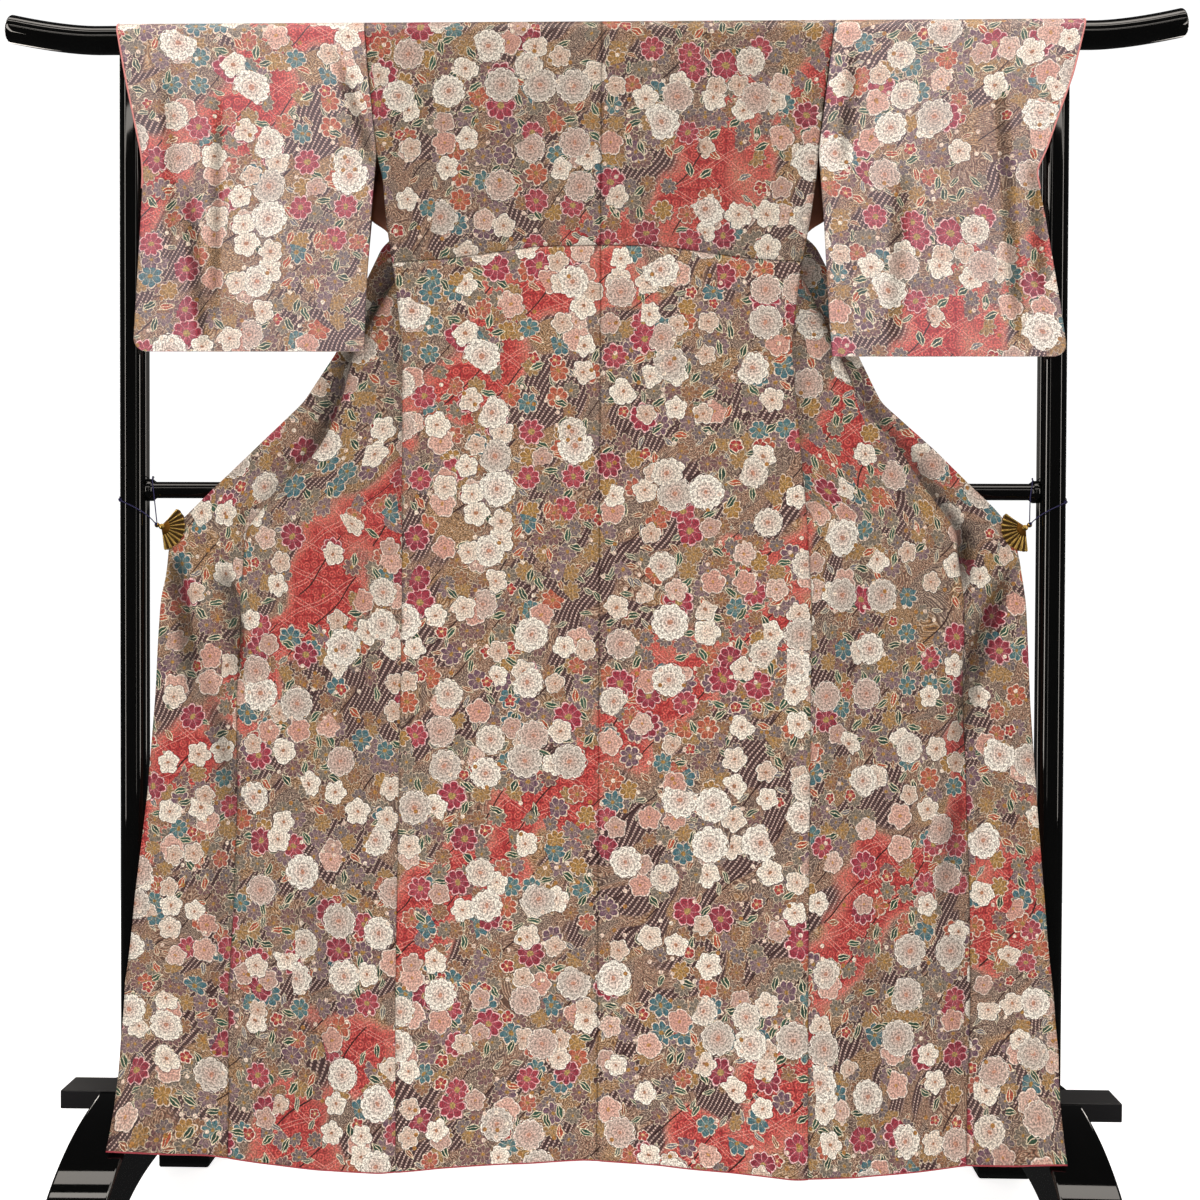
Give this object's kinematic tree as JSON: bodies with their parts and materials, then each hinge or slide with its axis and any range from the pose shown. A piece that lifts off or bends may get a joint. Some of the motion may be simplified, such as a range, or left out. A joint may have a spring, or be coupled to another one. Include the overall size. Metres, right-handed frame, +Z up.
{
  "type": "kimono on a kimono stand",
  "caption": "Lined silk small-pattern kimono spread back outwards on a black lacquered floor stand, its front edges held out by fan clips tied to the posts.",
  "frame": {"origin": "on the floor, below the middle of the stand's top rod, at the centre of the bounding box's base", "axes": "+Z up, +X to the right of someone who faces the garment's back, -Y towards that viewer"},
  "size_m": [1.6314, 0.549, 1.7084],
  "materials": {
    "silk_print": "woven silk with a fine flower pattern, soft sheen",
    "lacquer_black": "high-gloss black lacquer over wood",
    "satin_black": "satin black",
    "brass": "satin, dark in the recesses",
    "cord_navy": "thin braided cord"
  },
  "bodies": {
    "root": {"back_lower_left": "silk_print", "back_upper_left": "silk_print", "front_left": "silk_print", "okumi_left": "silk_print", "collar_left": "silk_print", "back_lower_right": "silk_print", "back_upper_right": "silk_print", "front_right": "silk_print", "okumi_right": "silk_print", "collar_right": "silk_print", "sleeve_left_back": "silk_print", "sleeve_left_front": "silk_print", "sleeve_right_back": "silk_print", "sleeve_right_front": "silk_print", "clip_left_face": "brass", "clip_left_rear": "brass", "clip_left_pin": "brass", "clip_left_bead": "brass", "clip_right_face": "brass", "clip_right_rear": "brass", "clip_right_pin": "brass", "clip_right_bead": "brass", "tether_left": "cord_navy", "tether_right": "cord_navy", "top_rod": "lacquer_black", "post_left": "lacquer_black", "post_right": "lacquer_black", "mid_rail": "lacquer_black", "foot_left": "lacquer_black", "foot_right": "lacquer_black", "cross_bar": "satin_black"}
  },
  "joints": []
}
